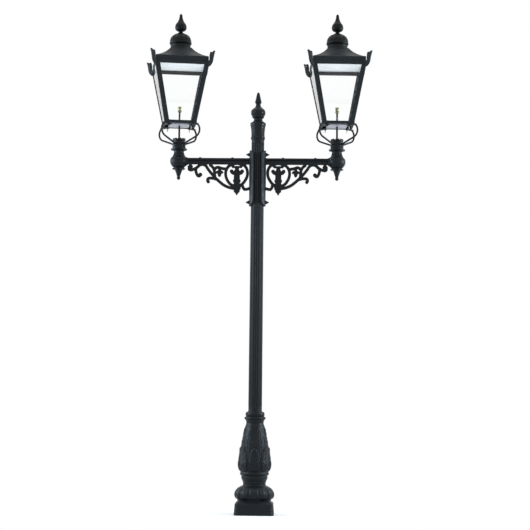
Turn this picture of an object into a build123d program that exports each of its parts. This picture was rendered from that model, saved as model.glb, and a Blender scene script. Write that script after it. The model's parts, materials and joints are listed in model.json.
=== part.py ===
from build123d import *
from math import asin, atan2, cos, hypot, pi, sin, sqrt
import os

# Twin-arm street lamp post in cast iron, with two square tapered lanterns.
# Z is up, the ground is z = 0 on the post's axis, and -Y is the front.
# All sizes are in millimetres.

# Clearances
seat_gap = 0.2            # between a piece and the round seat that holds it
running_gap = 0.05        # hinge pin in a turning knuckle
pin_gap = 0.03            # hinge pin in a fixed knuckle
hinge_gap = 0.5           # round a knuckle and between neighbouring knuckles
roof_gap = 0.3            # under the closed roof

# Plinth
plinth_width = 296.0
plinth_height = 101.0
plinth_corner = 36.0
plinth_wall = 27.0
plinth_top_plate = 28.0
ground_stud_spacing = 172.0
ground_stud_radius = 7.0
ground_stud_depth = 50.0
ground_boss_radius = 22.0

# Bowl, vase and neck collar
bowl_radius = 143.0
bowl_height = 124.0
waist_radius = 84.5
tongue_count = 12
tongue_relief = 4.5
vase_radius = 116.0
vase_height = 454.0
neck_radius = 65.5
leaf_count = 8
leaf_relief = 7.0
collar_radius = 80.0
collar_height = 90.0
casting_bore = 36.0

# Shaft
shaft_length = 2055.0
shaft_foot_radius = 51.2
shaft_top_radius = 48.4
shaft_bore = 30.0
spigot_radius = 44.0
spigot_length = 132.0
flute_count = 12
flute_radius = 9.0
flute_depth = 3.6
flute_stop = 34.0

# Head and finial
head_radius = 59.5
head_height = 164.0
head_spigot = 40.0
ball_radius = 56.0
ball_height = 106.0
ball_lobes = 8
spire_radius = 25.5
spire_height = 101.0
tie_rod_radius = 10.0
tie_rod_grip = 40.0       # length screwed into the ball
nut_radius = 19.0
nut_height = 18.0

# Arms, saddles and scroll brackets
arm_reach = 602.5         # post axis to lantern axis
arm_drop = 142.0          # top of the shaft down to the top of the arm
arm_width = 36.0
arm_bar = 16.0
tenon_length = 10.0
tenon_width = 20.0
tenon_height = 8.0
saddle_radius = 63.0
saddle_above = 59.0       # above the arm's top
saddle_below = 368.0      # below the arm's top
saddle_width = 108.0
saddle_open = 25.0        # half the width of shaft left bare between the saddles
saddle_end_radius = 42.0
spine_width = 18.0
spine_face = 64.0         # flat face that the bracket butts on
stud_inset = 30.0
stud_radius = 6.0
stud_head_radius = 13.0
stud_point = 24.0
bracket_drop = 228.0      # arm's top down to the bracket's lower fixing
bracket_rail = 47.0       # arm's top down to the rail's lower edge
bracket_thickness = 14.0
stroke = 20.0             # width of a scroll bar
arm_bolt_radius = 5.0
arm_bolt_head = 9.0
arm_bolt_grip = 16.0      # length in the bracket's rail

# End castings
end_rise = 62.0           # arm's top up to the lantern's seat
end_radius = 66.0
end_pad = 70.0            # axis to the flat face that the arm butts on
drop_radius = 28.0
drop_length = 79.0

# Frog
hub_height = 87.0
hub_radius = 50.0
hub_flange = 62.0
crown_radius = 49.0
crown_depth = 14.0
crown_notches = 8
leg_radius = 7.0
leg_reach = 202.0         # lantern axis to the bulge of a leg
leg_bend = 53.0
leg_bend_drop = 49.0      # lantern's underside down to the bend's centre
leg_seat = 46.0           # hub's foot up to where the legs spring
leg_boss_reach = 56.0
frog_rise = 101.0         # hub's top up to the lantern's underside
lug_width = 26.0
lug_thickness = 8.0
frog_bolt_circle = 238.0
frog_bolt_radius = 4.0
frog_bolt_tail = 34.0
hub_screw_height = 24.0
hub_screw_radius = 4.0
hub_screw_head = 9.0

# Lantern body
left_turn = 9.0           # degrees that each lantern is turned on its arm
right_turn = 3.0
body_foot = 239.0         # outside width at the underside
body_head = 406.0         # outside width under the top rail
body_height = 441.0       # underside to top rail
foot_rail = 21.0
top_rail = 26.0
rail_depth = 14.0
post_leg = 36.0
post_wall = 3.0
glass = 3.0
glass_edge = 4.5          # glass edge back from the post's inner face
floor_sheet = 3.0
floor_pan = 150.0         # width of the pan pressed in the middle of the floor
pan_drop = 2.0            # lantern's underside down to the pan's underside
stem_radius = 7.5
stem_length = 217.0
holder_radius = 16.0
holder_height = 44.0
holder_bore = 11.2
holder_depth = 22.0
fret_thickness = 13.0
fret_reach = 52.0
fret_height = 69.0        # above the top rail
fret_tail = 40.0          # below the top rail's upper face

# Lantern roof
roof_inset = 3.0          # roof edge inside the top rail, so that it clears the frets
roof_band = 32.0
roof_rise = 126.0
roof_top = 156.0
roof_sheet = 3.0
vent_hole = 58.0
vent_radius = 78.0
vent_height = 33.0
dome_radius = 85.5
dome_height = 102.0
dome_wall = 4.0
spike_radius = 44.0
spike_height = 146.0
hinge_place = 110.0       # lantern axis to the middle of a hinge
hinge_length = 50.0
hinge_middle = 18.0
hinge_leaf = 22.0
hinge_sheet = 2.5
knuckle_radius = 5.5
hinge_pin_radius = 2.5
hinge_pin_head = 4.0

# Levels that follow from the sizes
bowl_foot = plinth_height
vase_foot = bowl_foot + bowl_height
collar_foot = vase_foot + vase_height
shaft_foot = collar_foot + collar_height
shaft_top = shaft_foot + shaft_length
ball_foot = shaft_top + head_height
spire_foot = ball_foot + ball_height
arm_top = shaft_top - arm_drop
hub_foot = arm_top + end_rise
hub_top = hub_foot + hub_height
body_under = hub_top + frog_rise
body_top = body_under + body_height + top_rail
rod_hole = tie_rod_radius + seat_gap

UP = (Align.CENTER, Align.CENTER, Align.MIN)
ALONG_X = Rot(0, 90, 0)


def turned(start, *steps):
    """A form turned about Z from (radius, height) points. A four-number step is an arc."""
    edges = []
    here = start
    for step in steps:
        there = step[-2:]
        if len(step) == 2:
            edges.append(Line(here, there))
        else:
            edges.append(ThreePointArc(here, step[:2], there))
        here = there
    for there in ((0, here[1]), (0, start[1]), start):
        if hypot(there[0] - here[0], there[1] - here[1]) > 1e-6:
            edges.append(Line(here, there))
            here = there
    return revolve(Plane.XZ * make_face(edges), Axis.Z)


def rod(radius, length, foot=0.0):
    """An upright round bar."""
    return Pos(0, 0, foot) * Cylinder(radius, length, align=UP)


def block(size, low):
    """A box from its low corner."""
    return Pos(*low) * Box(*size, align=(Align.MIN, Align.MIN, Align.MIN))


def ring_of(shape, count, first=0.0):
    """Copies of a shape turned about Z."""
    return [Rot(0, 0, first + 360 * k / count) * shape for k in range(count)]


def mirrored_outline(half, axis=0.0):
    """A closed face from one side's (distance, height) points, mirrored about an upright line."""
    right = [(axis + x, y) for x, y in half]
    left = [(axis - x, y) for x, y in reversed(half) if x > 0]
    return make_face(Polyline(*right, *left, close=True))


# Base

def base_plinth():
    """Square foot with moulded steps, hollow below, with a tapped boss in each corner."""
    def tier(low_width, low, high_width, high):
        corner = plinth_corner
        foot = Pos(0, 0, low) * RectangleRounded(low_width, low_width, corner)
        head = Pos(0, 0, high) * RectangleRounded(high_width, high_width, corner)
        return loft([foot, head], ruled=True)

    step = plinth_width / 60
    heights = [plinth_height * f for f in (0, 0.15, 0.30, 0.42, 0.48, 0.82, 0.90)]
    widths = [plinth_width - step * s for s in (0, 0, 1, 1, 1.5, 2.5, 6)]
    body = tier(widths[0], heights[0], widths[1], heights[1])
    for k in range(1, len(heights) - 1):
        body += tier(widths[k], heights[k], widths[k + 1], heights[k + 1])
    body += turned((bowl_seat_radius, heights[-1]), (bowl_seat_radius, plinth_height))
    inner = plinth_width - 2 * plinth_wall
    cavity = extrude(RectangleRounded(inner, inner, plinth_corner / 2), plinth_height - plinth_top_plate)
    half = ground_stud_spacing / 2
    boss = 2 * ground_boss_radius
    for x in (-half, half):
        for y in (-half, half):
            cavity -= Pos(x, y, 0) * Box(boss, boss, plinth_height, align=UP)
            body -= Pos(x, y, 0) * rod(ground_stud_radius, ground_stud_depth)
    return body - cavity - rod(rod_hole, plinth_height)


bowl_seat_radius = 0.875 * bowl_radius


def bowl_form(extra):
    """Outside of the bowl, swollen by a relief height between its edges."""
    r = bowl_radius
    h = bowl_height
    return turned(
        (bowl_seat_radius, 0),
        (0.90 * r + extra, 0.10 * h),
        (1.00 * r + extra, 0.32 * h, 0.955 * r + extra, 0.58 * h),
        (0.845 * r + extra / 2, 0.76 * h, waist_radius + 11, 0.89 * h),
        (waist_radius + 2, 0.94 * h),
        (waist_radius, 0.95 * h),
        (waist_radius, h),
    )


def base_bowl():
    """Round bowl with upright leaf tongues round its shoulder."""
    width = 0.19 * bowl_radius
    low = 0.13 * bowl_height
    high = 0.80 * bowl_height
    tongue_face = make_face([
        Line((-width, high), (-width, low + width)),
        ThreePointArc((-width, low + width), (0, low), (width, low + width)),
        Line((width, low + width), (width, high)),
        ThreePointArc((width, high), (0, high + 0.6 * width), (-width, high)),
    ])
    tongue = extrude(Plane.XZ * tongue_face, 2 * bowl_radius) & bowl_form(tongue_relief)
    bowl = bowl_form(0) + ring_of(tongue, tongue_count)
    return Pos(0, 0, bowl_foot) * (bowl - rod(casting_bore, bowl_height))


def vase_form(extra):
    """Outside of the vase: ringed foot, full belly and drawn-out neck."""
    r = vase_radius
    h = vase_height
    ring = waist_radius + 14
    bead = waist_radius + 22
    return turned(
        (waist_radius, 0),
        (waist_radius + 1.5, 0.030 * h, ring - 4, 0.075 * h),
        (ring, 0.103 * h, ring - 1, 0.130 * h),
        (ring - 4, 0.137 * h),
        (bead - 2, 0.148 * h),
        (bead + 2, 0.166 * h, bead - 4, 0.196 * h),
        (0.94 * r + extra, 0.231 * h),
        (1.012 * r + extra, 0.31 * h, 0.985 * r + extra, 0.38 * h),
        (0.85 * r + extra, 0.62 * h, 0.672 * r + extra, 0.885 * h),
        (neck_radius + 6, 0.955 * h),
        (neck_radius + 1, 0.975 * h, neck_radius, h),
    )


def leaf(foot, tip, width):
    """Outline of one acanthus-type leaf: three lobes a side, drawn in to a curled tip."""
    rise = tip - foot
    lobes = ((0.45, 0.00), (0.95, 0.16), (0.78, 0.30), (1.00, 0.44),
             (0.74, 0.58), (0.80, 0.72), (0.46, 0.84))
    half = [(x * width, foot + y * rise) for x, y in lobes]
    return mirrored_outline(half + [(0, tip)])


def base_vase():
    """Vase wrapped in two tiers of leaves, bored for the shaft's spigot."""
    pitch = 2 * pi * vase_radius / leaf_count
    lower = Plane.XZ * leaf(0.205 * vase_height, 0.60 * vase_height, 0.47 * pitch)
    upper = Plane.XZ * leaf(0.42 * vase_height, 0.92 * vase_height, 0.36 * pitch)
    lower_leaf = extrude(lower, 2 * vase_radius) & vase_form(leaf_relief)
    upper_leaf = extrude(upper, 2 * vase_radius) & vase_form(0.6 * leaf_relief)
    vase = vase_form(0)
    vase += ring_of(upper_leaf, leaf_count, 180 / leaf_count)
    vase += ring_of(lower_leaf, leaf_count)
    socket = spigot_length - collar_height
    vase -= rod(casting_bore, vase_height)
    vase -= rod(spigot_radius + seat_gap, socket, vase_height - socket)
    return Pos(0, 0, vase_foot) * vase


def neck_collar():
    """Double-ring moulding that hides the shaft's spigot."""
    r = collar_radius
    h = collar_height
    small = shaft_foot_radius + 0.57 * (r - shaft_foot_radius)
    collar = turned(
        (neck_radius, 0),
        (neck_radius + 1, 0.13 * h),
        (neck_radius + 4.5, 0.23 * h),
        (r - 7, 0.27 * h),
        (r, 0.38 * h, r - 7, 0.49 * h),
        (small, 0.53 * h),
        (small + 4, 0.70 * h, small - 1, 0.88 * h),
        (shaft_foot_radius + 3, 0.93 * h),
        (shaft_foot_radius, h),
    )
    return Pos(0, 0, collar_foot) * (collar - rod(spigot_radius + seat_gap, h))


# Shaft, head and finial

def shaft_cone(extra=0.0):
    """The shaft's plain taper, grown by a clearance."""
    cone = Cone(shaft_foot_radius + extra, shaft_top_radius + extra, shaft_length, align=UP)
    return Pos(0, 0, shaft_foot) * cone


def flute():
    """One round-ended cutter along the shaft's taper."""
    out = flute_radius - flute_depth
    fall = (shaft_foot_radius - shaft_top_radius) / shaft_length
    low = Vector(shaft_foot_radius - fall * flute_stop + out, 0, shaft_foot + flute_stop)
    high = Vector(shaft_top_radius + fall * flute_stop + out, 0, shaft_top - flute_stop)
    run = high - low
    cutter = Plane(low, z_dir=run) * Cylinder(flute_radius, run.length, align=UP)
    return cutter + Pos(*low) * Sphere(flute_radius) + Pos(*high) * Sphere(flute_radius)


def stud_levels():
    """Heights of the studs at the two ends of a saddle."""
    return (arm_top + saddle_above - stud_inset, arm_top - saddle_below + stud_inset)


def stud_holes(radius):
    """Clearance holes on both sides of the shaft for the saddle studs."""
    reach = saddle_radius + stud_head_radius
    return [Pos(0, 0, z) * ALONG_X * Cylinder(radius, 2 * reach) for z in stud_levels()]


def fluted_shaft():
    """Tapering fluted tube with a plain spigot below."""
    shaft = shaft_cone() + rod(spigot_radius, spigot_length, shaft_foot - spigot_length)
    shaft -= ring_of(flute(), flute_count, 180 / flute_count)
    shaft -= rod(shaft_bore, shaft_length + spigot_length, shaft_foot - spigot_length)
    return shaft - stud_holes(stud_radius + seat_gap)


def shaft_head():
    """Bead, flare and cap moulding on top of the shaft, with a spigot in its bore."""
    h = head_height
    r = head_radius
    s = shaft_top_radius
    head = turned(
        (s + 1, 0),
        (s + 6, 0.08 * h, s + 2, 0.16 * h),
        (s + 2, 0.27 * h),
        (s + 3.5, 0.44 * h, s + 7, 0.61 * h),
        (r - 2, 0.66 * h),
        (r, 0.73 * h, r - 2, 0.80 * h),
        (0.70 * r, 0.86 * h, head_neck, 0.92 * h),
        (head_neck, h),
    )
    head += rod(shaft_bore - seat_gap, head_spigot, -head_spigot)
    return Pos(0, 0, shaft_top) * (head - rod(rod_hole, h + head_spigot, -head_spigot))


head_neck = 0.56 * head_radius


def finial_ball():
    """Dish and lobed ball, screwed on the tie rod."""
    r = ball_radius
    h = ball_height
    ball = turned(
        (head_neck, 0),
        (0.81 * r, 0.09 * h),
        (0.83 * r, 0.14 * h),
        (0.80 * r, 0.18 * h),
        (1.00 * r, 0.42 * h, 0.70 * r, 0.735 * h),
        (0.46 * r, 0.85 * h, 0.33 * r, h),
    )
    groove = Pos(1.06 * r, 0, 0.46 * h) * Cylinder(0.11 * r, 0.46 * h)
    ball -= ring_of(groove, ball_lobes)
    return Pos(0, 0, ball_foot) * (ball - rod(rod_hole, tie_rod_grip))


def finial_spire():
    """Barbed spear point on the ball."""
    h = spire_height
    neck = 0.33 * ball_radius
    spire = turned(
        (neck, 0),
        (0.95 * neck, 0.08 * h),
        (spire_radius, 0.20 * h),
        (0.96 * spire_radius, 0.26 * h),
        (0.70 * spire_radius, 0.55 * h, 0.34 * spire_radius, 0.94 * h),
        (0, h),
    )
    return Pos(0, 0, spire_foot) * spire


def tie_rod():
    """Rod from the plinth's top plate to the ball."""
    foot = plinth_height - plinth_top_plate - nut_height
    return rod(tie_rod_radius, ball_foot + tie_rod_grip - foot, foot)


def tie_rod_nut():
    """Hexagon nut and washer under the plinth's top plate."""
    seat = plinth_height - plinth_top_plate
    washer = nut_height / 4
    nut = extrude(RegularPolygon(nut_radius, 6), nut_height - washer)
    nut += rod(1.3 * nut_radius, washer, nut_height - washer)
    return Pos(0, 0, seat - nut_height) * (nut - rod(rod_hole, nut_height))


# Saddles, arms and brackets, drawn on the right-hand side

def saddle():
    """Curved plate against the shaft, with flat seats for the arm, the bracket and the studs."""
    high = arm_top + saddle_above
    low = arm_top - saddle_below
    tall = high - low
    tongue = RectangleRounded(saddle_width, tall, saddle_end_radius)
    plate = extrude(Plane.YZ.offset(saddle_open) * Pos(0, (high + low) / 2) * tongue, 2 * saddle_radius)
    plate &= rod(saddle_radius, tall, low)
    root = shaft_top_radius
    plate += block((spine_face - root, spine_width, bracket_drop + stroke),
                   (root, -spine_width / 2, arm_top - bracket_drop - stroke))
    plate += block((arm_pad - root, arm_width + 4, pad_drop + 2),
                   (root, -arm_width / 2 - 2, arm_top - pad_drop))
    boss = stud_face - root
    for z in stud_levels():
        plate += Pos(root, 0, z) * ALONG_X * Cylinder(stud_head_radius + 2, boss, align=UP)
    pocket = (tenon_length + seat_gap, tenon_width + 2 * seat_gap, tenon_height + 2 * seat_gap)
    tenon_low = arm_top - arm_bar / 2 - pocket[2] / 2
    plate -= block(pocket, (arm_pad - pocket[0], -pocket[1] / 2, tenon_low))
    return plate - shaft_cone(seat_gap) - stud_holes(stud_radius + seat_gap)


arm_pad = spine_face + 2       # flat seat of the arm on the saddle
pad_drop = bracket_rail + 4    # foot of that seat, from the arm's top
stud_face = saddle_radius + 3  # flat seat of a stud's head


def saddle_stud(level):
    """Pointed stud through the saddle into the shaft's wall."""
    r = stud_head_radius
    shank = stud_face - shaft_bore - 4
    head = turned(
        (r, 0),
        (r, 0.20 * stud_point),
        (0.84 * r, 0.28 * stud_point),
        (0.14 * r, 0.96 * stud_point),
        (0, stud_point),
    )
    return Pos(stud_face, 0, level) * ALONG_X * (head + rod(stud_radius, shank, -shank))


def arm():
    """Arm bar with a rounded top and a tenon at each end, bored for the bracket's bolts."""
    start = arm_pad
    length = arm_reach - end_pad - start
    section = RectangleRounded(arm_width, arm_bar, arm_bar / 4)
    bar = extrude(Plane.YZ.offset(start) * Pos(0, arm_top - arm_bar / 2) * section, length)
    bar += block((length + 2 * tenon_length, tenon_width, tenon_height),
                 (start - tenon_length, -tenon_width / 2, arm_top - arm_bar / 2 - tenon_height / 2))
    for x in arm_bolt_places():
        bar -= Pos(x, 0, arm_top - arm_bar) * rod(arm_bolt_radius + seat_gap, 2 * arm_bar)
    return bar


def arm_bolt_places():
    """Distances out along the arm of the two bracket bolts."""
    length = arm_reach - end_pad - spine_face
    return (spine_face + 0.275 * length, spine_face + 0.80 * length)


def arm_bolt(place):
    """Hexagon bolt through the arm into the bracket's rail."""
    head = extrude(RegularPolygon(arm_bolt_head, 6), 0.7 * arm_bolt_head)
    grip = arm_bar + arm_bolt_grip
    return Pos(place, 0, arm_top) * (head + rod(arm_bolt_radius, grip, -grip))


# The bracket is drawn on a sheet 470 long and 228 deep, from the saddle's face and the arm's top.
sheet_length = 470.0
sheet_depth = 228.0
scroll_lines = {
    "sweep": ((446, -62), (463, -76), (446, -92), (412, -80), (388, -61), (361, -49), (321, -76),
              (266, -143), (199, -203), (163, -221), (118, -232)),
    "curl": ((408, -82), (406, -110), (397, -130), (384, -138), (373, -128)),
    "tail": ((252, -162), (276, -155), (300, -154), (317, -165), (312, -182)),
    "strut": ((297, -54), (275, -76), (266, -104), (264, -126), (261, -148)),
    "cusp": ((266, -90), (250, -72), (234, -70), (206, -79), (178, -82)),
    "outer_lyre": ((145, -52), (172, -82), (180, -122), (174, -152), (162, -176), (142, -200), (108, -214)),
    "inner_lyre": ((40, -52), (20, -78), (13, -112), (17, -143), (30, -169), (50, -195), (82, -214)),
    "hook": ((50, -198), (47, -222), (34, -239), (17, -237), (-6, -230)),
    "near_curl": ((84, -110), (68, -116), (54, -102)),
    "far_curl": ((104, -110), (120, -116), (134, -102)),
}
scroll_balls = ((444, -66, 12), (373, -127, 13.5), (312, -181, 12), (54, -100, 13.5), (134, -100, 13.5))
stubs = (((450, -40), (450, -66)), ((361, -40), (361, -54)), ((297, -40), (297, -62)),
         ((227, -68), (227, -104)))
baluster_axis = 94.0
baluster_half = ((14, -60), (15, -88), (23, -100), (24, -122), (22, -130), (22, -160), (28, -168),
                 (28, -180), (22, -187), (24, -206), (31, -216), (28, -238), (20, -248), (23, -257),
                 (12, -264), (0, -285))
star_centre = (227, -108)
star_points = ((29, 2), (19, 11), (8, 13), (0, 20), (-8, 13), (-19, 11), (-29, 1), (-27, -8), (-14, -10),
               (-12, -24), (-5, -35), (5, -35), (12, -24), (14, -10), (27, -8))


def bracket():
    """Open scroll-work casting: top rail, lyre round a baluster, sweep with curls, and a star pendant."""
    length = arm_reach - end_pad - spine_face
    across = length / sheet_length
    down = bracket_drop / sheet_depth

    def at(point):
        return (point[0] * across, point[1] * down)

    rail = bracket_rail - arm_bar
    sketch = Sketch() + Pos(length / 2, -arm_bar - rail / 2) * Rectangle(length, rail)
    for points in scroll_lines.values():
        placed = [at(p) for p in points]
        arcs = [ThreePointArc(*placed[k:k + 3]) for k in range(0, len(placed) - 2, 2)]
        sketch += SlotArc(Wire(arcs), stroke)
    for x, y, radius in scroll_balls:
        sketch += Pos(*at((x, y))) * Circle(radius)
    for top, foot in stubs:
        a, b = at(top), at(foot)
        sketch += Pos((a[0] + b[0]) / 2, (a[1] + b[1]) / 2) * Rectangle(stroke, a[1] - b[1])
    web = make_face(Polyline(*[at(p) for p in ((30, -40), (156, -40), (128, -74), (60, -74))], close=True))
    eye = Pos(*at((baluster_axis, -57))) * Ellipse(22 * across, 7.5 * down)
    sketch += web - eye
    half = [at(p) for p in baluster_half]
    sketch += mirrored_outline(half, baluster_axis * across)
    star = [at((star_centre[0] + x, star_centre[1] + y)) for x, y in star_points]
    sketch += make_face(Polyline(*star, close=True))
    sketch &= Pos(length / 2, 0) * Rectangle(length, 4 * bracket_drop)
    sketch -= Pos(0, -pad_drop / 2) * Rectangle(2 * (arm_pad - spine_face), pad_drop)
    plate = extrude(Plane.XZ * sketch, bracket_thickness / 2, both=True)
    plate = Pos(spine_face, 0, arm_top) * plate
    for x in arm_bolt_places():
        hole = rod(arm_bolt_radius + seat_gap, arm_bolt_grip, -arm_bolt_grip)
        plate -= Pos(x, 0, arm_top - arm_bar) * hole
    return plate


# End castings, drawn on the right-hand arm with the post on the -X side

def end_casting():
    """Leafed bell and bowl on the arm's end, with curved gussets above and below the arm."""
    r = end_radius
    top = end_rise
    body = turned(
        (0.70 * r, top),
        (0.70 * r, top - 5),
        (0.58 * r, top - 10),
        (0.57 * r, top - 20, 0.60 * r, top - 30),
        (0.71 * r, 14, 0.90 * r, 0),
        (r, -22, 0.86 * r, -54),
        (0.73 * r, -66, 0.57 * r, -74),
        (0.57 * r, -78),
        (0.74 * r, -82),
        (0.74 * r, -87),
        (0.50 * r, end_foot),
    )
    pad_low = -pad_drop
    body += block((end_pad - 0.5 * r, arm_width + 4, 2 - pad_low), (-end_pad, -arm_width / 2 - 2, pad_low))
    inner = 0.5 * r
    above = make_face([
        Line((-inner, 0), (-end_pad, 0)),
        Line((-end_pad, 0), (-end_pad, 2)),
        ThreePointArc((-end_pad, 2), (-0.76 * r, 12), (-0.60 * r, 38)),
        Line((-0.60 * r, 38), (-inner, 38)),
        Line((-inner, 38), (-inner, 0)),
    ])
    below = make_face([
        Line((-inner, pad_low + 2), (-end_pad, pad_low + 2)),
        Line((-end_pad, pad_low + 2), (-end_pad, pad_low)),
        ThreePointArc((-end_pad, pad_low), (-0.82 * r, pad_low - 9), (-0.62 * r, pad_low - 24)),
        Line((-0.62 * r, pad_low - 24), (-inner, pad_low - 24)),
        Line((-inner, pad_low - 24), (-inner, pad_low + 2)),
    ])
    body += extrude(Plane.XZ * above, bracket_thickness, both=True)
    body += extrude(Plane.XZ * below, bracket_thickness, both=True)
    pocket = (tenon_length + seat_gap, tenon_width + 2 * seat_gap, tenon_height + 2 * seat_gap)
    body -= block(pocket, (-end_pad, -pocket[1] / 2, -arm_bar / 2 - pocket[2] / 2))
    body -= rod(drop_shank + seat_gap, drop_grip, end_foot)
    return Pos(arm_reach, 0, arm_top) * body


end_foot = -90.0               # end casting's lower face, from the arm's top
drop_shank = drop_radius / 3
drop_grip = 16.0


def drop():
    """Pendant under the end casting, held by its shank."""
    r = drop_radius
    h = drop_length
    pendant = turned(
        (r, 0),
        (r, -0.05 * h),
        (0.72 * r, -0.33 * h, 0.44 * r, -0.645 * h),
        (0.40 * r, -0.68 * h),
        (0.48 * r, -0.82 * h, 0.32 * r, -0.94 * h),
        (0.14 * r, -0.985 * h),
        (0, -h),
    )
    pendant += rod(drop_shank, drop_grip - 1, 0)
    return Pos(arm_reach, 0, arm_top + end_foot) * pendant


# One lantern, drawn on its own axis at its real height

taper = (body_head - body_foot) / 2 / body_height


def half_width(z):
    """Half the body's outside width at a height."""
    return body_foot / 2 + taper * (z - body_under)


def leg_geometry():
    """Where a leg leaves the hub's boss, where its bend begins and ends, in (radius, height)."""
    centre = (leg_reach - leg_bend, body_under - leg_bend_drop)
    spring = (leg_boss_reach, hub_foot + leg_seat + 0.4 * (leg_boss_reach - hub_radius))
    away = hypot(centre[0] - spring[0], centre[1] - spring[1])
    bearing = atan2(centre[1] - spring[1], centre[0] - spring[0])
    run = sqrt(away ** 2 - leg_bend ** 2)
    slope = bearing - asin(leg_bend / away)
    touch = (spring[0] + run * cos(slope), spring[1] + run * sin(slope))
    end_angle = asin((leg_bend_drop - lug_thickness / 2) / leg_bend)
    finish = (centre[0] + leg_bend * cos(end_angle), centre[1] + leg_bend * sin(end_angle))
    bulge = (leg_reach, centre[1])
    return spring, touch, bulge, finish, slope


def on_diagonal(point):
    """A (radius, height) point in the XZ plane."""
    return (point[0], 0, point[1])


def frog_hub():
    """Turned hub with a notched crown and a boss for each leg."""
    h = hub_height
    r = hub_radius
    hub = turned(
        (hub_flange, 0),
        (hub_flange, 0.09 * h),
        (r, 0.12 * h),
        (r, 0.42 * h),
        (0.90 * r, 0.52 * h, 0.88 * r, 0.78 * h),
        (crown_radius, 0.82 * h),
        (crown_radius, h),
    )
    hub -= rod(crown_radius - 7, crown_depth, h - crown_depth)
    notch = Pos(crown_radius, 0, h) * Box(24, 8, crown_depth)
    hub -= ring_of(notch, crown_notches, 180 / crown_notches)
    hub = Pos(0, 0, hub_foot) * hub
    spring, _, _, _, slope = leg_geometry()
    run = (cos(slope), 0, sin(slope))
    length = leg_boss_reach - 0.6 * r
    root = Vector(*on_diagonal(spring)) - Vector(*run) * length
    boss = Plane(root, z_dir=run) * Cylinder(1.5 * leg_radius, length, align=UP)
    hub += ring_of(boss, 4, 45)
    seat = Pos(0.5 * r, 0, hub_foot + hub_screw_height) * ALONG_X
    hub += ring_of(seat * Cylinder(0.75 * hub_screw_head, 0.5 * r + 2, align=UP), 4, 45)
    hub -= ring_of(seat * Cylinder(hub_screw_radius + seat_gap, r, align=UP), 4, 45)
    return hub


def hub_screws():
    """Square-headed set screws round the hub."""
    head = hub_screw_head
    shank = 0.4 * hub_radius
    screw = Box(head, head, 0.6 * head, align=UP) + rod(hub_screw_radius, shank, -shank)
    placed = Pos(hub_radius + 2, 0, hub_foot + hub_screw_height) * ALONG_X * screw
    return ring_of(placed, 4, 45)


def frog_legs():
    """Four bent round bars from the hub to lugs under the lantern's corners."""
    spring, touch, bulge, finish, slope = leg_geometry()
    path = Wire([
        Line(on_diagonal(spring), on_diagonal(touch)),
        ThreePointArc(on_diagonal(touch), on_diagonal(bulge), on_diagonal(finish)),
    ])
    section = Plane(on_diagonal(spring), z_dir=(cos(slope), 0, sin(slope))) * Circle(leg_radius)
    bar = sweep(section, path)
    bolt = frog_bolt_circle / 2
    start = bolt - lug_width / 2
    lug_foot = body_under - lug_thickness
    lug = block((finish[0] - start, lug_width, lug_thickness), (start, -lug_width / 2, lug_foot))
    lug += Pos(finish[0], 0, lug_foot) * rod(lug_width / 2, lug_thickness)
    above = block((leg_reach, leg_reach, leg_reach), (0, -leg_reach / 2, body_under))
    leg = bar - above + lug - Pos(bolt, 0, 0) * rod(frog_bolt_radius + seat_gap, 2 * body_under)
    return ring_of(leg, 4, 45)


def frog_bolts():
    """Bolts that clamp the floor plate and the rails to the frog's lugs."""
    floor_top = body_under + foot_rail + floor_sheet
    nut = 2 * frog_bolt_radius
    low = body_under - frog_bolt_tail
    bolt = rod(frog_bolt_radius, floor_top - low, low)
    bolt += Pos(0, 0, floor_top) * extrude(RegularPolygon(nut, 6), 0.7 * nut)
    bolt += Pos(0, 0, body_under - lug_thickness - 0.8 * nut) * extrude(RegularPolygon(nut, 6), 0.8 * nut)
    return ring_of(Pos(frog_bolt_circle / 2, 0, 0) * bolt, 4, 45)


def lamp_stem():
    """Tube from the hub's crown to the lampholder."""
    r = stem_radius
    stem = turned(
        (2.4 * r, 0),
        (2.4 * r, 0.6 * r),
        (1.2 * r, 1.2 * r, r, 3.6 * r),
        (r, stem_length),
    )
    return Pos(0, 0, stem_foot) * stem


stem_foot = hub_top - crown_depth


def lampholder():
    """Brass bayonet lampholder, open above."""
    h = holder_height
    sleeve = holder_bore + 2.3
    holder = turned(
        (0.6 * holder_radius, 0),
        (holder_radius, 0.08 * h),
        (holder_radius, 0.26 * h),
        (sleeve, 0.32 * h),
        (sleeve, h),
        (holder_bore, h),
        (holder_bore, h - holder_depth),
        (0, h - holder_depth),
    )
    return Pos(0, 0, stem_foot + stem_length) * holder


def mitred_rails(outside, height, level):
    """Four bars that meet in mitres."""
    inside = outside / 2 - rail_depth
    bar = extrude(Pos(0, 0, level) * make_face(Polyline(
        (-outside / 2, -outside / 2), (outside / 2, -outside / 2), (inside, -inside), (-inside, -inside),
        close=True)), height)
    return ring_of(bar, 4)


def floor_plate():
    """Pale sheet on the bottom rails with a pressed pan, and holes for the stem and the frog's bolts."""
    level = body_under + foot_rail
    width = 2 * (half_width(level) - post_wall - glass_edge - glass)
    plate = Pos(0, 0, level) * Box(width, width, floor_sheet, align=UP)
    depth = foot_rail + pan_drop
    well = floor_pan - 2 * floor_sheet
    plate += Pos(0, 0, level - depth) * Box(floor_pan, floor_pan, depth, align=UP)
    plate -= Pos(0, 0, level - depth + floor_sheet) * Box(well, well, 2 * depth, align=UP)
    plate -= rod(stem_radius + 1, 2 * level)
    hole = Pos(frog_bolt_circle / 2, 0, 0) * rod(frog_bolt_radius + seat_gap, 2 * level)
    return plate - ring_of(hole, 4, 45)


def corner_posts():
    """Four L-section posts that lean with the lantern's sides."""
    low = body_under + foot_rail
    high = body_under + body_height
    h = half_width(low)
    inner = h - post_wall
    leg = h - post_leg
    outline = Polyline((h, h), (leg, h), (leg, inner), (inner, inner), (inner, leg), (h, leg), close=True)
    face = Pos(0, 0, low) * make_face(outline)
    lean = taper * (high - low)
    post = Solid.extrude(face.face(), Vector(lean, lean, high - low))
    return ring_of(post, 4)


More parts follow.
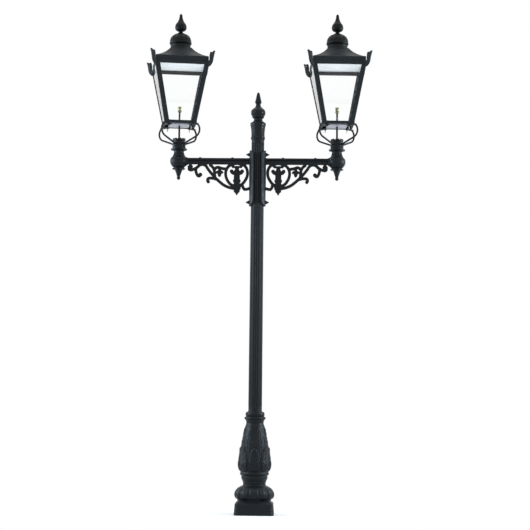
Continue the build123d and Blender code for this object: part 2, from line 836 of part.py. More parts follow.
def glass_panes():
    """Four clear panes behind the posts."""
    low = body_under + foot_rail
    lean = atan2(body_head - body_foot, 2 * body_height)
    high = body_under + body_height - seat_gap - glass * sin(lean)
    back = (post_wall + seat_gap) / cos(lean)
    corners = []
    for z in (low, high):
        side = half_width(z) - post_wall - glass_edge
        corners.append((side, half_width(z) - back, z))
    (w0, y0, z0), (w1, y1, z1) = corners
    outline = Wire.make_polygon([(-w0, -y0, z0), (w0, -y0, z0), (w1, -y1, z1), (-w1, -y1, z1)], close=True)
    pane = Solid.extrude(Face(outline), Vector(0, cos(lean), sin(lean)) * glass)
    return ring_of(pane, 4)


def body_envelope():
    """Outside of the lantern's body and top rail."""
    low = Pos(0, 0, body_under) * Rectangle(body_foot, body_foot)
    high = Pos(0, 0, body_under + body_height) * Rectangle(body_head, body_head)
    rails = Pos(0, 0, body_under + body_height) * Box(body_head, body_head, top_rail, align=UP)
    return loft([low, high], ruled=True) + rails


def corner_frets():
    """Two-pointed leaves that lean out from the top corners."""
    corner = body_head / sqrt(2)
    fret_clear = (fret_thickness / 2 + roof_inset - 1) / fret_reach

    def at(out, up):
        return (corner + out * fret_reach, up * fret_height)

    root = (corner - 8, -fret_tail)
    foot = (corner, -fret_tail)
    elbow = at(0.62, 0)
    outer_tip = at(1, 1)
    crotch = at(0.60, 0.78)
    inner_tip = at(0.32, 0.92)
    shoulder = at(fret_clear, 0.48)
    seat = at(fret_clear, 0)
    back = (corner - 8, 0)
    outline = make_face([
        Line(root, foot),
        ThreePointArc(foot, (corner + 0.38 * fret_reach, -0.60 * fret_tail), elbow),
        ThreePointArc(elbow, at(0.76, 0.5), outer_tip),
        ThreePointArc(outer_tip, at(0.77, 0.92), crotch),
        ThreePointArc(crotch, at(0.50, 0.88), inner_tip),
        ThreePointArc(inner_tip, at(fret_clear + 0.05, 0.70), shoulder),
        Line(shoulder, seat),
        Line(seat, back),
        Line(back, root),
    ])
    plate = extrude(Plane.XZ * outline, fret_thickness / 2, both=True)
    fret = Rot(0, 0, 45) * Pos(0, 0, body_top) * plate - body_envelope()
    return ring_of(fret, 4)


# The roof and its hinges

hinge_y = body_head / 2 + knuckle_radius + hinge_gap
hinge_z = body_top + roof_gap / 2


def knuckle(start, end, radius):
    """A round piece along the hinge axis between two places."""
    return Pos(start, hinge_y, hinge_z) * ALONG_X * Cylinder(radius, end - start, align=UP)


def hinge_parts():
    """Body leaf, roof leaf and pin of one hinge, centred on the lantern's axis."""
    end = hinge_length / 2
    middle = hinge_middle / 2
    body_back = body_head / 2
    roof_back = body_head / 2 - roof_inset
    fixed_ends = ((-end, -middle - hinge_gap / 2), (middle + hinge_gap / 2, end))
    clear = knuckle_radius + hinge_gap
    body_leaf = block((hinge_length, hinge_sheet, hinge_leaf - roof_gap),
                      (-end, body_back, hinge_z - hinge_leaf))
    body_leaf -= knuckle(-middle - hinge_gap / 2, middle + hinge_gap / 2, clear)
    roof_leaf = block((hinge_length, roof_inset + hinge_sheet - hinge_gap, hinge_leaf - knuckle_radius / 4),
                      (-end, roof_back, hinge_z + knuckle_radius / 4))
    for a, b in fixed_ends:
        body_leaf += knuckle(a, b, knuckle_radius)
        roof_leaf -= knuckle(min(a, a - hinge_gap), max(b, b + hinge_gap), clear)
    roof_leaf += knuckle(-middle + hinge_gap / 2, middle - hinge_gap / 2, knuckle_radius)
    body_leaf -= knuckle(-end, end, hinge_pin_radius + pin_gap)
    roof_leaf -= knuckle(-end, end, hinge_pin_radius + running_gap)
    pin = knuckle(-end - hinge_gap, end + hinge_gap, hinge_pin_radius)
    pin += knuckle(-end - hinge_gap - hinge_pin_head / 2, -end - hinge_gap, hinge_pin_head)
    return body_leaf, roof_leaf, pin


def both_hinges(part):
    """The two hinges of one roof."""
    return [Pos(x, 0, 0) * part for x in (-hinge_place, hinge_place)]


def roof_prism(sheet):
    """Concave roof outline drawn in by a sheet's thickness and run through from side to side."""
    half = body_head / 2 - roof_inset - sheet
    top = roof_top / 2 - sheet
    foot = 0 if sheet == 0 else -sheet
    rise = roof_rise - sheet
    band = roof_band - sheet / 2
    shoulder = half - 3
    bend = (0.42 * shoulder + 0.58 * top, band + 0.45 * (rise - band))
    profile = make_face([
        Line((-half, foot), (half, foot)),
        Line((half, foot), (half, band)),
        Line((half, band), (shoulder, band + 4)),
        ThreePointArc((shoulder, band + 4), bend, (top, rise)),
        Line((top, rise), (-top, rise)),
        ThreePointArc((-top, rise), (-bend[0], bend[1]), (-shoulder, band + 4)),
        Line((-shoulder, band + 4), (-half, band)),
        Line((-half, band), (-half, foot)),
    ])
    front = extrude(Plane.XZ * profile, body_head, both=True)
    side = extrude(Plane.YZ * profile, body_head, both=True)
    return front & side


roof_foot = body_top + roof_gap
vent_foot = roof_foot + roof_rise
dome_foot = vent_foot + vent_height
spike_foot = dome_foot + dome_height


def roof_shell():
    """Four-sided swept roof in sheet, open below, with a hole under the vent."""
    shell = roof_prism(0) - roof_prism(roof_sheet) - rod(vent_hole, 2 * roof_rise)
    return Pos(0, 0, roof_foot) * shell


def reflector():
    """White plate in the mouth of the roof."""
    width = body_head - 2 * (roof_inset + roof_sheet + seat_gap)
    return Pos(0, 0, roof_foot + roof_sheet) * Box(width, width, roof_sheet, align=UP)


def vent_collar():
    """Round collar between roof and dome."""
    r = vent_radius
    h = vent_height
    collar = turned(
        (r + 3, 0),
        (r + 3, 0.10 * h),
        (r, 0.22 * h),
        (r - 1, 0.7 * h, r, h),
    )
    return Pos(0, 0, vent_foot) * (collar - rod(vent_hole + 4, h))


def dome():
    """Hollow dome with a rim."""
    r = dome_radius
    h = dome_height
    t = dome_wall
    shell = turned(
        (vent_radius - 6, 0),
        (r - 4, 0.06 * h),
        (r, 0.14 * h, r - 3, 0.22 * h),
        (0.85 * r, 0.58 * h, 0.54 * r, 0.82 * h),
        (0.33 * r, 0.90 * h, 0.17 * r, h),
    )
    shell -= turned(
        (vent_radius - 12, 0),
        (r - 7 - t, 0.22 * h),
        (0.82 * r - t, 0.55 * h, 0.48 * r - t, 0.79 * h),
        (0, 0.86 * h),
    )
    return Pos(0, 0, dome_foot) * shell


def spike():
    """Pointed bulb on the dome."""
    r = spike_radius
    h = spike_height
    neck = 0.17 * dome_radius
    form = turned(
        (neck, 0),
        (0.96 * neck, 0.05 * h),
        (0.96 * r, 0.17 * h, r, 0.29 * h),
        (0.98 * r, 0.34 * h, 0.90 * r, 0.39 * h),
        (0.93 * r, 0.40 * h),
        (0.84 * r, 0.45 * h),
        (0.42 * r, 0.66 * h, 0.25 * r, 0.93 * h),
        (0.12 * r, 0.985 * h),
        (0, h),
    )
    return Pos(0, 0, spike_foot) * form


def lantern():
    """All pieces of one lantern by name, on the lantern's own axis."""
    body_leaf, roof_leaf, pin = hinge_parts()
    return {
        "frog_hub": frog_hub(),
        "hub_screws": hub_screws(),
        "frog_legs": frog_legs(),
        "frog_bolts": frog_bolts(),
        "lamp_stem": lamp_stem(),
        "lampholder": lampholder(),
        "bottom_rails": mitred_rails(body_foot + 2 * taper * foot_rail, foot_rail, body_under),
        "floor_plate": floor_plate(),
        "corner_posts": corner_posts(),
        "top_rails": mitred_rails(body_head, top_rail, body_under + body_height),
        "glass_panes": glass_panes(),
        "corner_frets": corner_frets(),
        "body_hinge_leaves": both_hinges(body_leaf),
        "hinge_pins": both_hinges(pin),
        "roof_hinge_leaves": both_hinges(roof_leaf),
        "roof_shell": roof_shell(),
        "reflector": reflector(),
        "vent_collar": vent_collar(),
        "dome": dome(),
        "spike": spike(),
    }


def solids_of(piece):
    """The separate solids of a node."""
    pieces = piece if isinstance(piece, list) else [piece]
    return [solid for shape in pieces for solid in shape.solids()]


def collect():
    """Every node of the lamp post by name."""
    nodes = {
        "base_plinth": base_plinth(),
        "base_bowl": base_bowl(),
        "base_vase": base_vase(),
        "neck_collar": neck_collar(),
        "fluted_shaft": fluted_shaft(),
        "shaft_head": shaft_head(),
        "finial_ball": finial_ball(),
        "finial_spire": finial_spire(),
        "tie_rod": tie_rod(),
        "tie_rod_nut": tie_rod_nut(),
    }
    other_side = Rot(0, 0, 180)
    for name, piece in (("saddle", saddle()), ("arm", arm()), ("bracket", bracket()),
                        ("end_casting", end_casting()), ("drop", drop())):
        nodes["right_" + name] = piece
        nodes["left_" + name] = other_side * piece
    studs = [saddle_stud(z) for z in stud_levels()]
    bolts = [arm_bolt(x) for x in arm_bolt_places()]
    nodes["saddle_studs"] = studs + [other_side * s for s in studs]
    nodes["arm_bolts"] = bolts + [other_side * b for b in bolts]
    pieces = lantern()
    shared = ("hub_screws", "frog_bolts", "hinge_pins")
    for name in shared:
        nodes[name] = []
    for side, reach, turn in (("left", -arm_reach, left_turn), ("right", arm_reach, right_turn)):
        place = Pos(reach, 0, 0) * Rot(0, 0, turn)
        for name, piece in pieces.items():
            placed = [place * solid for solid in solids_of(piece)]
            if name in shared:
                nodes[name] += placed
            else:
                nodes[f"{side}_{name}"] = placed
    return nodes


os.makedirs("parts", exist_ok=True)
for node, piece in collect().items():
    solids = solids_of(piece)
    export_step(solids[0] if len(solids) == 1 else Compound(solids), f"parts/{node}.step")
    print(f"{node}: {len(solids)} solids")
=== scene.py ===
import json
import math

import bpy
import numpy as np
from mathutils import Matrix, Vector


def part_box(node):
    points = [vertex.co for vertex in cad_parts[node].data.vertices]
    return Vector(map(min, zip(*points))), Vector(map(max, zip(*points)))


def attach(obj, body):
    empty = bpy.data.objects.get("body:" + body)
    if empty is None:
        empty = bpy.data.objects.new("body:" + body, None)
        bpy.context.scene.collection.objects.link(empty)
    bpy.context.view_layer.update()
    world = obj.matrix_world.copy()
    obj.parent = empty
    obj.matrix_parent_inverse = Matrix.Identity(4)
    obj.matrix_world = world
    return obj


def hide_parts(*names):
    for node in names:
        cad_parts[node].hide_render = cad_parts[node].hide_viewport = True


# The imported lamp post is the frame. Everything here is in metres in its coordinates.
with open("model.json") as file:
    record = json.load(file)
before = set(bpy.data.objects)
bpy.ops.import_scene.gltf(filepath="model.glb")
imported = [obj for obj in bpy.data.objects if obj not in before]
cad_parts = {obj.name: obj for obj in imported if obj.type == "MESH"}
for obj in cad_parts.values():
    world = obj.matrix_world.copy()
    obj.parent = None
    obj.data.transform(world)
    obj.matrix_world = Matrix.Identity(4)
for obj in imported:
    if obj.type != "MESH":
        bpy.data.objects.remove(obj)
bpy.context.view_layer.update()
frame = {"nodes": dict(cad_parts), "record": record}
nodes = frame["nodes"]
slot_of = {part["node"]: part["material_slot"] for part in frame["record"]["subparts"]}
body_of = {}
for body, members in frame["record"]["behaviour"]["bodies"].items():
    for node in members:
        body_of[node] = body

# Castings: voxels and smoothing passes that round off the sharp CAD edges, and coats that make up for it
fine_voxel = 0.0022
coarse_voxel = 0.0030
smoothing = 0.5
base_passes = 4
turned_passes = 3
bracket_passes = 2
fret_passes = 6
bracket_coat = 0.0014
fret_coat = 0.0030

# Castings: radii of the bores that stay as they are when the outside is carved
base_bore = 0.05
end_bore = 0.03
dome_bore = 0.02

# Vase leaves, as in the CAD model. Feet and tips are parts of the vase's height.
vase_leaves = 8
lower_leaf = (0.205, 0.60)
upper_leaf = (0.42, 0.92)
rib_height = 0.0020
vein_height = 0.0013
curl_height = 0.0040

# One leaf's pattern. Widths are parts of half the room for one leaf, lengths are parts of its length.
leaf_width = 0.92
least_width = 0.05
edge_lobes = 3.5
lobe_depth = 0.14
edge_end = 1.08
edge_fade = 0.16
rib_width = 0.07
vein_count = 7
vein_slant = 1.5
vein_fade = 1 / 3
rim_place = 0.92
rim_width = 0.10
curl_start = 0.72
curl_length = 0.2

# Tongues of the bowl, petals of the domes, and leaf folds on an end casting's bell and lowest ring.
# A foot or top is a place and the length of its fade, both as parts of the casting's height.
bowl_tongues = 12
tongue_depth = 0.0008
tongue_foot = (0.12, 0.12)
tongue_top = (0.86, 0.12)
dome_petals = 12
petal_depth = 0.0045
petal_level = 0.7
petal_foot = (0.26, 0.08)
petal_top = (0.94, 0.15)
bell_folds = 16
bell_depth = 0.0012
bell_foot = (0.62, 0.05)
bell_top = (0.90, 0.08)
ring_folds = 10
ring_depth = 0.0024
ring_top = (0.10, 0.03)

# Paint: gloss, blotches, paler edges from wear and painted highlight, a darker top. Ranges are the parts of
# a field that a change takes.
middle_range = (0.3, 0.7)
blotch_range = (0.32, 0.72)
blotch_gain = 1.35
edge_range = (0.53, 0.66)
edge_wear_and_highlight = (0.4, 0.4, 0.4)
wear_scale = 60.0
wear_range = (0.35, 0.70)
# Darker tones that the paint takes from a given height up.
top_dark_tones = ((0.0016, 0.0019, 0.0022), (0.0024, 0.0028, 0.0032))

# Enamel dust, and tarnish on bare metal
dust_range = (0.35, 0.75)
dust_tone = 0.94
tarnish_range = (0.35, 0.68)
fine_skin = 0.0002
metal_relief = 0.35

# Frog bolts: the bare brass tail as a part of the bolt's height, and half the height of the paint's edge
tail_part = 0.3
paint_edge = 0.001

# Floor: its grey, and the share of plain white that takes over with the distance from the post
floor_reach = 40.0
floor_grey = 0.76
white_distance = (0.2, 1.6)
white_share = (0.30, 1.0)

# World: its light on the object, and the white that is seen
ambient_level = 0.86
seen_level = 1.0

# Lamps: a window each side and one above
window_place = (5.0, -0.3, 2.9)
window_aim = (0.0, 0.0, 2.6)
window_size = (3.0, 2.2)
left_tint = (0.67, 0.87, 1.0)
right_tint = (0.71, 0.89, 1.0)
window_power = 295.0
top_place = (0.0, 0.0, 8.0)
top_aim = (0.0, 0.0, 2.0)
top_size = (9.0, 9.0)
top_tint = (0.96, 0.98, 1.0)
top_power = 230.0

# Camera, worked out from the photograph
camera_orbit = math.radians(1.5)
camera_distance = 11.0
camera_height = 0.7943
camera_aim = Vector((0.0, 0.0, 1.8663))
camera_view = math.radians(20.570)
camera_roll = math.radians(0.6)
camera_shift = 0.0158


# Material nodes

def new_material(name):
    """A node material, its nodes, its links and its Principled shader."""
    material = bpy.data.materials.new(name)
    material.use_nodes = True
    tree = material.node_tree.nodes
    return material, tree, material.node_tree.links, tree["Principled BSDF"]


def noise(tree, links, scale, detail=4.0, stretch=(1, 1, 1)):
    """A noise field in object coordinates, in metres."""
    place = tree.new("ShaderNodeTexCoord")
    mapping = tree.new("ShaderNodeMapping")
    mapping.inputs["Scale"].default_value = stretch
    field = tree.new("ShaderNodeTexNoise")
    field.inputs["Scale"].default_value = scale
    field.inputs["Detail"].default_value = detail
    field.inputs["Roughness"].default_value = 0.55
    links.new(place.outputs["Object"], mapping.inputs["Vector"])
    links.new(mapping.outputs["Vector"], field.inputs["Vector"])
    return field.outputs["Fac"]


def ramp(tree, links, value, span, colors):
    """A two-colour ramp over part of a field's range."""
    node = tree.new("ShaderNodeValToRGB")
    for element, position, color in zip(node.color_ramp.elements, span, colors):
        element.position = position
        element.color = (*color, 1)
    links.new(value, node.inputs["Fac"])
    return node.outputs["Color"]


def map_range(tree, links, value, source, target=(0.0, 1.0)):
    """A value mapped evenly from one span to another, and held at its ends."""
    node = tree.new("ShaderNodeMapRange")
    node.inputs["From Min"].default_value = source[0]
    node.inputs["From Max"].default_value = source[1]
    node.inputs["To Min"].default_value = target[0]
    node.inputs["To Max"].default_value = target[1]
    links.new(value, node.inputs["Value"])
    return node.outputs["Result"]


def spread(tree, links, scale, span):
    """A noise field whose middle range fills a span of plain values."""
    return map_range(tree, links, noise(tree, links, scale), middle_range, span)


def above_height(tree, links, low, high):
    """Nought below a low height of the object, one above a high one."""
    place = tree.new("ShaderNodeSeparateXYZ")
    links.new(tree.new("ShaderNodeTexCoord").outputs["Object"], place.inputs["Vector"])
    return map_range(tree, links, place.outputs["Z"], (low, high))


def blend_colors(tree, links, factor, first, second):
    """A mix of two colour sockets."""
    node = tree.new("ShaderNodeMix")
    node.data_type = "RGBA"
    links.new(factor, node.inputs["Factor"])
    links.new(first, node.inputs["A"])
    links.new(second, node.inputs["B"])
    return node.outputs["Result"]


def combine(tree, links, operation, first, second):
    """Two values joined by one operation of a Math node."""
    node = tree.new("ShaderNodeMath")
    node.operation = operation
    links.new(first, node.inputs[0])
    links.new(second, node.inputs[1])
    return node.outputs[0]


def show_mix(tree, links, factor, first, second):
    """Sends a mix of two shaders to the material's surface."""
    mix = tree.new("ShaderNodeMixShader")
    links.new(factor, mix.inputs["Fac"])
    links.new(first, mix.inputs[1])
    links.new(second, mix.inputs[2])
    links.new(mix.outputs["Shader"], tree["Material Output"].inputs["Surface"])


def bump(tree, links, shader, height, depth, strength):
    """Fine relief on a shader's normal."""
    node = tree.new("ShaderNodeBump")
    node.inputs["Distance"].default_value = depth
    node.inputs["Strength"].default_value = strength
    links.new(height, node.inputs["Height"])
    links.new(node.outputs["Normal"], shader.inputs["Normal"])


# Materials

def paint(name, deep, worn_and_highlit, grain, depth, gloss, shine, darker_above=None):
    """Semi-gloss black paint over metal: blotchy tone, paler on proud edges from wear and a painted
    highlight, with a fine skin.
    Where two heights are given, the paint turns darker from the first up to the second and above."""
    material, tree, links, shader = new_material(name)
    blotches = noise(tree, links, scale=9.0, detail=5.0)
    pale = tuple(blotch_gain * level for level in deep)
    body_tone = ramp(tree, links, blotches, blotch_range, (deep, pale))
    edges = tree.new("ShaderNodeNewGeometry").outputs["Pointiness"]
    # Proud edges turn paler, partly from wear and partly as a painted edge highlight.
    rubbed_and_highlit = ramp(tree, links, edges, edge_range, ((0, 0, 0), edge_wear_and_highlight))
    bare = ramp(tree, links, noise(tree, links, wear_scale), wear_range, (deep, worn_and_highlit))
    tone = blend_colors(tree, links, rubbed_and_highlit, body_tone, bare)
    # From the first given height up, the paint turns darker.
    if darker_above:
        top_tone = ramp(tree, links, blotches, blotch_range, top_dark_tones)
        tone = blend_colors(tree, links, above_height(tree, links, *darker_above), tone, top_tone)
    links.new(tone, shader.inputs["Base Color"])
    links.new(spread(tree, links, scale=26.0, span=gloss), shader.inputs["Roughness"])
    bump(tree, links, shader, noise(tree, links, grain, detail=3.0), depth, strength=0.5)
    shader.inputs["Specular IOR Level"].default_value = shine
    return material


def enamel(name, color, gloss):
    """Pale stoved enamel with a faint skin and dust."""
    material, tree, links, shader = new_material(name)
    dusty = tuple(dust_tone * level for level in color)
    dust = noise(tree, links, scale=14.0, detail=6.0)
    links.new(ramp(tree, links, dust, dust_range, (color, dusty)), shader.inputs["Base Color"])
    links.new(spread(tree, links, scale=40.0, span=gloss), shader.inputs["Roughness"])
    bump(tree, links, shader, noise(tree, links, scale=420.0), fine_skin, strength=0.3)
    return material


def metal(name, bright, dull, gloss, grain):
    """Bare metal, tarnished in patches of a grain, with finer gloss and relief."""
    material, tree, links, shader = new_material(name)
    shader.inputs["Metallic"].default_value = 1.0
    patches = noise(tree, links, grain, detail=6.0)
    links.new(ramp(tree, links, patches, tarnish_range, (bright, dull)), shader.inputs["Base Color"])
    links.new(spread(tree, links, 2 * grain, gloss), shader.inputs["Roughness"])
    bump(tree, links, shader, noise(tree, links, 6 * grain), fine_skin, metal_relief)
    return material


def bolt_metal(name, painted, brass, gloss, grain, bright_below):
    """Bolts painted over with the lantern, with bare brass tails below a height."""
    material, tree, links, shader = new_material(name)
    above = above_height(tree, links, bright_below - paint_edge, bright_below + paint_edge)
    tarnish = ramp(tree, links, noise(tree, links, grain, detail=6.0), tarnish_range, brass)
    paint_tone = ramp(tree, links, noise(tree, links, wear_scale), wear_range, painted)
    links.new(blend_colors(tree, links, above, tarnish, paint_tone), shader.inputs["Base Color"])
    links.new(map_range(tree, links, above, (0.0, 1.0), (1.0, 0.0)), shader.inputs["Metallic"])
    links.new(spread(tree, links, 2 * grain, gloss), shader.inputs["Roughness"])
    bump(tree, links, shader, noise(tree, links, 6 * grain), fine_skin, metal_relief)
    return material


def window_glass(name):
    """Thin clear pane with the sheen of its faces and a trace of drawn ripple. It lets the light through."""
    material, tree, links, shader = new_material(name)
    shader.inputs["Base Color"].default_value = (0.99, 0.998, 0.998, 1)
    shader.inputs["Roughness"].default_value = 0.0
    shader.inputs["Transmission Weight"].default_value = 1.0
    shader.inputs["IOR"].default_value = 1.32
    ripple = noise(tree, links, scale=5.0, detail=1.0, stretch=(1, 1, 0.4))
    bump(tree, links, shader, ripple, depth=0.0006, strength=0.02)
    clear = tree.new("ShaderNodeBsdfTransparent")
    clear.inputs["Color"].default_value = (0.992, 0.998, 0.998, 1)
    path = tree.new("ShaderNodeLightPath")
    lit = combine(tree, links, "MAXIMUM", path.outputs["Is Shadow Ray"], path.outputs["Is Diffuse Ray"])
    show_mix(tree, links, lit, shader.outputs["BSDF"], clear.outputs["BSDF"])
    return material


bolt_low, bolt_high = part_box("frog_bolts")
tail_top = bolt_low.z + tail_part * (bolt_high.z - bolt_low.z)
vent_low, vent_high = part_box("left_vent_collar")
finishes = {
    "cast_paint": paint("cast_paint", deep=(0.0036, 0.0052, 0.0072), worn_and_highlit=(0.018, 0.024, 0.031),
                        grain=900.0, depth=0.0006, gloss=(0.38, 0.52), shine=0.18),
    # The lantern paint turns darker from the vent collar up.
    "lantern_paint": paint("lantern_paint", deep=(0.0085, 0.0110, 0.0130), worn_and_highlit=(0.024, 0.030, 0.036),
                           grain=1500.0, depth=0.0003, gloss=(0.40, 0.54), shine=0.14,
                           darker_above=(vent_low.z, vent_high.z)),
    "clear_glass": window_glass("clear_glass"),
    "white_enamel": enamel("white_enamel", color=(0.98, 0.965, 0.955), gloss=(0.48, 0.62)),
    "pale_enamel": enamel("pale_enamel", color=(0.365, 0.365, 0.42), gloss=(0.32, 0.46)),
    "dull_brass": metal("dull_brass", bright=(0.24, 0.20, 0.11), dull=(0.09, 0.08, 0.05),
                        gloss=(0.38, 0.55), grain=90.0),
    "old_brass": bolt_metal("old_brass", painted=((0.006, 0.008, 0.010), (0.020, 0.026, 0.034)),
                            brass=((0.36, 0.33, 0.26), (0.18, 0.16, 0.12)),
                            gloss=(0.32, 0.50), grain=110.0, bright_below=tail_top),
    "steel_rod": metal("steel_rod", bright=(0.45, 0.45, 0.46), dull=(0.25, 0.25, 0.26),
                       gloss=(0.30, 0.45), grain=70.0),
}


def dress(piece, slot):
    """Gives a piece the finish of one of the record's slots."""
    piece.data.materials.clear()
    piece.data.materials.append(finishes[slot])


for node, piece in nodes.items():
    dress(piece, slot_of[node])


# Castings with rounded edges and carved relief

def cast_copy(node, voxel, passes, coat=0.0):
    """A copy of a CAD solid that replaces it, with edges rounded off like a sand casting's, under a coat."""
    rough = bpy.data.objects.new(node + "_rough", nodes[node].data.copy())
    bpy.context.scene.collection.objects.link(rough)
    remesh = rough.modifiers.new("remesh", "REMESH")
    remesh.mode = "VOXEL"
    remesh.voxel_size = voxel
    smooth = rough.modifiers.new("smooth", "SMOOTH")
    smooth.factor = smoothing
    smooth.iterations = passes
    if coat:
        swell = rough.modifiers.new("swell", "DISPLACE")
        swell.mid_level = 0.0
        swell.strength = coat
    shape = bpy.data.meshes.new_from_object(rough.evaluated_get(bpy.context.evaluated_depsgraph_get()))
    bpy.data.objects.remove(rough)
    shape.name = node + "_casting"
    shape.polygons.foreach_set("use_smooth", [True] * len(shape.polygons))
    piece = bpy.data.objects.new(node + "_casting", shape)
    bpy.context.scene.collection.objects.link(piece)
    dress(piece, slot_of[node])
    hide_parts(node)
    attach(piece, body_of[node])
    return piece


def carve(piece, axis, relief, bore):
    """Moves a casting's outside in or out from an upright axis by relief(angle, part of height)."""
    points = np.empty(3 * len(piece.data.vertices))
    piece.data.vertices.foreach_get("co", points)
    points = points.reshape(-1, 3)
    out = points[:, :2] - np.array(axis)
    radius = np.hypot(out[:, 0], out[:, 1])
    angle = np.arctan2(out[:, 1], out[:, 0])
    low = points[:, 2].min()
    height = (points[:, 2] - low) / (points[:, 2].max() - low)
    grow = relief(angle, height) * (radius > bore)
    points[:, :2] += out / np.maximum(radius, bore)[:, None] * grow[:, None]
    piece.data.vertices.foreach_set("co", points.ravel())
    piece.data.update()


def rising(value, start, length):
    """Nought up to a start, and an even rise from there to one over a length."""
    return np.clip((value - start) / length, 0, 1)


def falling(value, end, length):
    """An even fall from one over a length, and nought from the end on."""
    return np.clip((end - value) / length, 0, 1)


def band(height, foot, top):
    """One between a foot and a top, fading to nought at both."""
    return rising(height, *foot) * falling(height, *top)


def leaf_relief(angle, height, span, turn, count):
    """Midrib, slanting veins, a raised rim and a curled tip on a ring of leaves."""
    pitch = 2 * math.pi / count
    across = (np.mod(angle - turn + pitch / 2, pitch) / pitch - 0.5) * 2
    along = (height - span[0]) / (span[1] - span[0])
    inside = (along > 0) & (along < 1)
    lobes = 1 - lobe_depth + lobe_depth * np.cos(2 * math.pi * edge_lobes * along)
    width = leaf_width * np.sqrt(np.clip(1 - along, 0, 1)) * lobes
    beside = np.abs(across) / np.maximum(width, least_width)
    on_leaf = inside * falling(beside, edge_end, edge_fade)
    rib = rib_height * np.exp(-(across / rib_width) ** 2)
    slant = np.cos(2 * math.pi * (vein_count * along - vein_slant * np.abs(across)))
    veins = vein_height * slant * rising(np.abs(across), 0, vein_fade)
    rim = rib_height * np.exp(-((beside - rim_place) / rim_width) ** 2)
    curl = curl_height * rising(along, curl_start, curl_length) ** 2
    return on_leaf * (rib + veins + rim + curl)


def vase_relief(angle, height):
    """The vase's two tiers of leaves, half a leaf apart."""
    first = -math.pi / 2
    lower = leaf_relief(angle, height, lower_leaf, first, vase_leaves)
    upper = leaf_relief(angle, height, upper_leaf, first + math.pi / vase_leaves, vase_leaves)
    return np.maximum(lower, upper)


def bowl_relief(angle, height):
    """A midrib on each tongue of the bowl and a sharper groove between tongues."""
    turn = bowl_tongues * (angle + math.pi / 2)
    return tongue_depth * band(height, tongue_foot, tongue_top) * (np.cos(turn) + np.cos(3 * turn))


def dome_relief(angle, height):
    """Pressed petals round the dome above its rim."""
    petals = np.abs(np.sin(dome_petals / 2 * angle))
    return petal_depth * band(height, petal_foot, petal_top) * (petals - petal_level)


def end_relief(angle, height):
    """Leaf folds round the bell and the lowest ring of an end casting."""
    bell = band(height, bell_foot, bell_top) * np.cos(bell_folds * angle)
    ring = falling(height, *ring_top) * np.cos(ring_folds * angle)
    return bell_depth * bell + ring_depth * ring


post_axis = (0.0, 0.0)
carve(cast_copy("base_vase", coarse_voxel, base_passes), post_axis, vase_relief, base_bore)
carve(cast_copy("base_bowl", coarse_voxel, base_passes), post_axis, bowl_relief, base_bore)
cast_copy("finial_ball", fine_voxel, turned_passes)
for side in ("left", "right"):
    low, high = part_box(side + "_dome")
    lantern_axis = ((low.x + high.x) / 2, (low.y + high.y) / 2)
    cast_copy(side + "_bracket", fine_voxel, bracket_passes, bracket_coat)
    cast_copy(side + "_corner_frets", fine_voxel, fret_passes, fret_coat)
    carve(cast_copy(side + "_end_casting", fine_voxel, turned_passes), lantern_axis, end_relief, end_bore)
    carve(cast_copy(side + "_dome", fine_voxel, turned_passes), lantern_axis, dome_relief, dome_bore)


# Stage

def background_rays(tree, links):
    """One for the rays that see the white background: the camera's, and those through glass or off gloss."""
    path = tree.new("ShaderNodeLightPath")
    seen = path.outputs["Is Camera Ray"]
    for kind in ("Is Glossy Ray", "Is Transmission Ray"):
        seen = combine(tree, links, "MAXIMUM", seen, path.outputs[kind])
    return seen


def floor_material():
    """Pale floor that takes the object's shadow near the post and turns to plain white further out."""
    material, tree, links, shader = new_material("floor_white")
    shader.inputs["Base Color"].default_value = (floor_grey, floor_grey, floor_grey, 1)
    shader.inputs["Roughness"].default_value = 0.9
    shader.inputs["Specular IOR Level"].default_value = 0.0
    glow = tree.new("ShaderNodeEmission")
    glow.inputs["Color"].default_value = (1, 1, 1, 1)
    glow.inputs["Strength"].default_value = seen_level
    away = tree.new("ShaderNodeVectorMath")
    away.operation = "LENGTH"
    links.new(tree.new("ShaderNodeTexCoord").outputs["Object"], away.inputs[0])
    white = map_range(tree, links, away.outputs["Value"], white_distance, white_share)
    share = combine(tree, links, "MULTIPLY", background_rays(tree, links), white)
    show_mix(tree, links, share, shader.outputs["BSDF"], glow.outputs["Emission"])
    return material


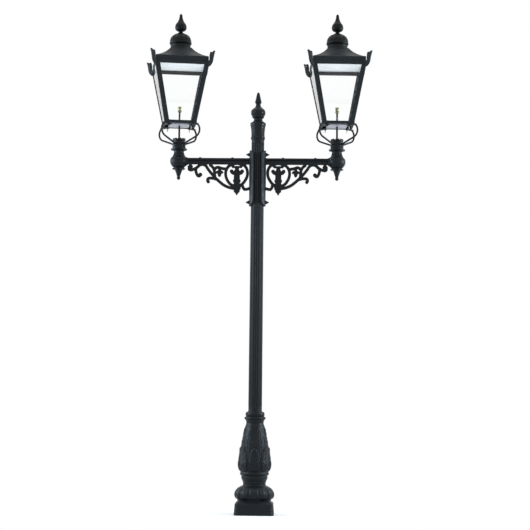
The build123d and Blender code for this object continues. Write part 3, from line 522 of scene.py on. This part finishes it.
floor_shape = bpy.data.meshes.new("floor")
floor_corners = [(x * floor_reach, y * floor_reach, 0) for x, y in ((-1, -1), (1, -1), (1, 1), (-1, 1))]
floor_shape.from_pydata(floor_corners, [], [(0, 1, 2, 3)])
floor = bpy.data.objects.new("floor", floor_shape)
floor.data.materials.append(floor_material())
bpy.context.scene.collection.objects.link(floor)


def world_light():
    """White studio background whose even light on the object is a little lower than what is seen of it."""
    world = bpy.data.worlds.new("studio")
    world.use_nodes = True
    tree = world.node_tree.nodes
    links = world.node_tree.links
    level = tree.new("ShaderNodeMix")
    level.data_type = "FLOAT"
    level.inputs["A"].default_value = ambient_level
    level.inputs["B"].default_value = seen_level
    links.new(background_rays(tree, links), level.inputs["Factor"])
    ground = tree["Background"]
    ground.inputs["Color"].default_value = (1, 1, 1, 1)
    links.new(level.outputs["Result"], ground.inputs["Strength"])
    bpy.context.scene.world = world


def area_light(name, place, aim, size, power, color):
    """A soft rectangular lamp."""
    lamp = bpy.data.lights.new(name, "AREA")
    lamp.shape = "RECTANGLE"
    lamp.size = size[0]
    lamp.size_y = size[1]
    lamp.energy = power
    lamp.color = color
    holder = bpy.data.objects.new(name, lamp)
    holder.location = place
    holder.rotation_euler = (Vector(aim) - Vector(place)).to_track_quat("-Z", "Y").to_euler()
    bpy.context.scene.collection.objects.link(holder)


world_light()
for name, side, tint in (("left_window", -1, left_tint), ("right_window", 1, right_tint)):
    place = (side * window_place[0], window_place[1], window_place[2])
    area_light(name, place, window_aim, window_size, window_power, tint)
area_light("top_window", top_place, top_aim, top_size, top_power, top_tint)


# Camera

lens = bpy.data.cameras.new("photo_camera")
lens.sensor_fit = "HORIZONTAL"
lens.angle = camera_view
lens.shift_x = camera_shift
camera = bpy.data.objects.new("photo_camera", lens)
camera_place = Vector((camera_distance * math.sin(camera_orbit),
                       -camera_distance * math.cos(camera_orbit),
                       camera_height))
facing = (camera_aim - camera_place).to_track_quat("-Z", "Y").to_matrix().to_4x4()
camera.matrix_world = Matrix.Translation(camera_place) @ facing @ Matrix.Rotation(camera_roll, 4, "Z")
bpy.context.scene.collection.objects.link(camera)
bpy.context.scene.camera = camera
bpy.context.scene.view_settings.view_transform = "Standard"

bpy.context.view_layer.update()
